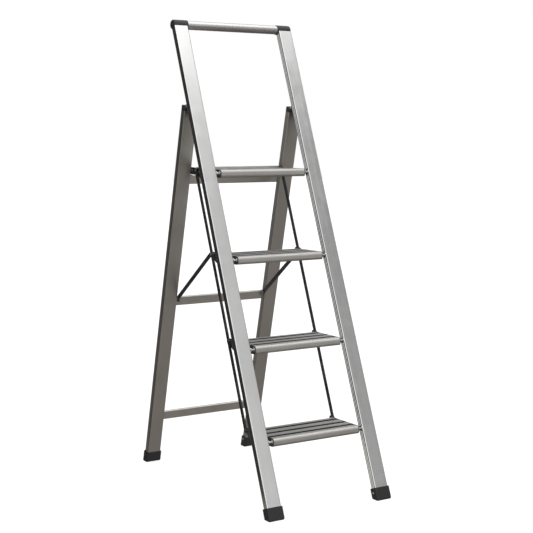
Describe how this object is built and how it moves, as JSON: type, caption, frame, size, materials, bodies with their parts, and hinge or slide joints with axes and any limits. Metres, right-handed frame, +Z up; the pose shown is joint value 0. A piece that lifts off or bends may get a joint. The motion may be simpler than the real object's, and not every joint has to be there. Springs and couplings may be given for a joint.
{
  "type": "folding platform step ladder",
  "caption": "Slim folding step ladder with hollow treads, a deeper top platform, a tubular grab handle, splayed rear legs and link bars that fold the treads.",
  "frame": {"origin": "on the floor at the middle of the open ladder's footprint", "axes": "+X across the ladder to the right of someone climbing, +Y from the climbing side to the rear legs, +Z up"},
  "size_m": [0.393, 0.7117, 1.2963],
  "materials": {
    "bright_aluminium": "brushed, clear anodised",
    "grey_aluminium": "satin, dark anodised",
    "tread_aluminium": "extruded, satin",
    "black_plastic": "fine moulded texture",
    "grip_rubber": "ribbed, matt",
    "foot_rubber": "matt moulded",
    "black_steel": "satin black coating",
    "zinc_steel": "zinc plated",
    "fastener_steel": "plated, smooth"
  },
  "bodies": {
    "front_frame": {"front_foot_left": "foot_rubber", "front_foot_right": "foot_rubber", "front_foot_screws": "fastener_steel", "front_stile_left": "bright_aluminium", "front_stile_right": "bright_aluminium", "handle_connector_left": "black_plastic", "handle_connector_right": "black_plastic", "handle_tube": "bright_aluminium", "hinge_leaf_left": "black_steel", "hinge_leaf_right": "black_steel", "hinge_leaf_rivets": "fastener_steel", "hinge_pins": "fastener_steel", "tread_pivot_pins": "fastener_steel"},
    "rear_frame": {"rear_bar_lower": "grey_aluminium", "rear_bar_middle": "grey_aluminium", "rear_bar_top": "grey_aluminium", "rear_foot_left": "foot_rubber", "rear_foot_right": "foot_rubber", "rear_foot_screws": "fastener_steel", "rear_leg_cap_left": "black_plastic", "rear_leg_cap_right": "black_plastic", "rear_leg_left": "grey_aluminium", "rear_leg_right": "grey_aluminium", "strut_bracket_left": "zinc_steel", "strut_bracket_right": "zinc_steel", "strut_pins": "fastener_steel"},
    "tread_1_body": {"platform_hook_left": "black_steel", "platform_hook_right": "black_steel", "platform_hook_rivets": "fastener_steel", "tread_1": "tread_aluminium", "tread_1_cap_left": "black_plastic", "tread_1_cap_right": "black_plastic", "tread_1_grips": "grip_rubber", "tread_1_rear_pins": "fastener_steel"},
    "tread_2_body": {"tread_2": "tread_aluminium", "tread_2_cap_left": "black_plastic", "tread_2_cap_right": "black_plastic", "tread_2_ear_rivets": "fastener_steel", "tread_2_grips": "grip_rubber", "tread_2_rear_pins": "fastener_steel"},
    "tread_3_body": {"tread_3": "tread_aluminium", "tread_3_cap_left": "black_plastic", "tread_3_cap_right": "black_plastic", "tread_3_ear_rivets": "fastener_steel", "tread_3_grips": "grip_rubber", "tread_3_rear_pins": "fastener_steel"},
    "tread_4_body": {"tread_4": "tread_aluminium", "tread_4_cap_left": "black_plastic", "tread_4_cap_right": "black_plastic", "tread_4_ear_rivets": "fastener_steel", "tread_4_grips": "grip_rubber", "tread_4_rear_pins": "fastener_steel"},
    "link_bars": {"link_bar_left": "black_steel", "link_bar_right": "black_steel"},
    "struts": {"strut_left": "black_steel", "strut_right": "black_steel", "strut_rivets": "fastener_steel"}
  },
  "joints": [
    {"name": "rear_frame_fold", "type": "hinge", "parent": "front_frame", "child": "rear_frame", "pos_m": [0, 0.07608, 1.05586], "axis": [-1, 0, 0], "range_deg": [0, 34.5]},
    {"name": "tread_1_fold", "type": "hinge", "parent": "front_frame", "child": "tread_1_body", "pos_m": [0, -0.01087, 0.874], "axis": [1, 0, 0], "range_deg": [0, 62.1]},
    {"name": "tread_2_fold", "type": "hinge", "parent": "front_frame", "child": "tread_2_body", "pos_m": [0, -0.09916, 0.644], "axis": [1, 0, 0], "range_deg": [0, 62.1]},
    {"name": "tread_3_fold", "type": "hinge", "parent": "front_frame", "child": "tread_3_body", "pos_m": [0, -0.18745, 0.414], "axis": [1, 0, 0], "range_deg": [0, 62.1]},
    {"name": "tread_4_fold", "type": "hinge", "parent": "front_frame", "child": "tread_4_body", "pos_m": [0, -0.27574, 0.184], "axis": [1, 0, 0], "range_deg": [0, 62.1]},
    {"name": "link_bars_turn", "type": "hinge", "parent": "tread_2_body", "child": "link_bars", "pos_m": [0, 0.02234, 0.6505], "axis": [-1, 0, 0], "range_deg": [0, 62.1]},
    {"name": "struts_turn", "type": "hinge", "parent": "rear_frame", "child": "struts", "pos_m": [0, 0.21679, 0.50573], "axis": [-1, 0, 0], "range_deg": [0, 35.99]}
  ],
  "couplings": [
    {"joint": "tread_1_fold", "follows": "rear_frame_fold", "ratio": 1.8},
    {"joint": "tread_2_fold", "follows": "rear_frame_fold", "ratio": 1.8},
    {"joint": "tread_3_fold", "follows": "rear_frame_fold", "ratio": 1.8},
    {"joint": "tread_4_fold", "follows": "rear_frame_fold", "ratio": 1.8},
    {"joint": "link_bars_turn", "follows": "rear_frame_fold", "ratio": 1.8},
    {"joint": "struts_turn", "follows": "rear_frame_fold", "ratio": 1.0431}
  ]
}
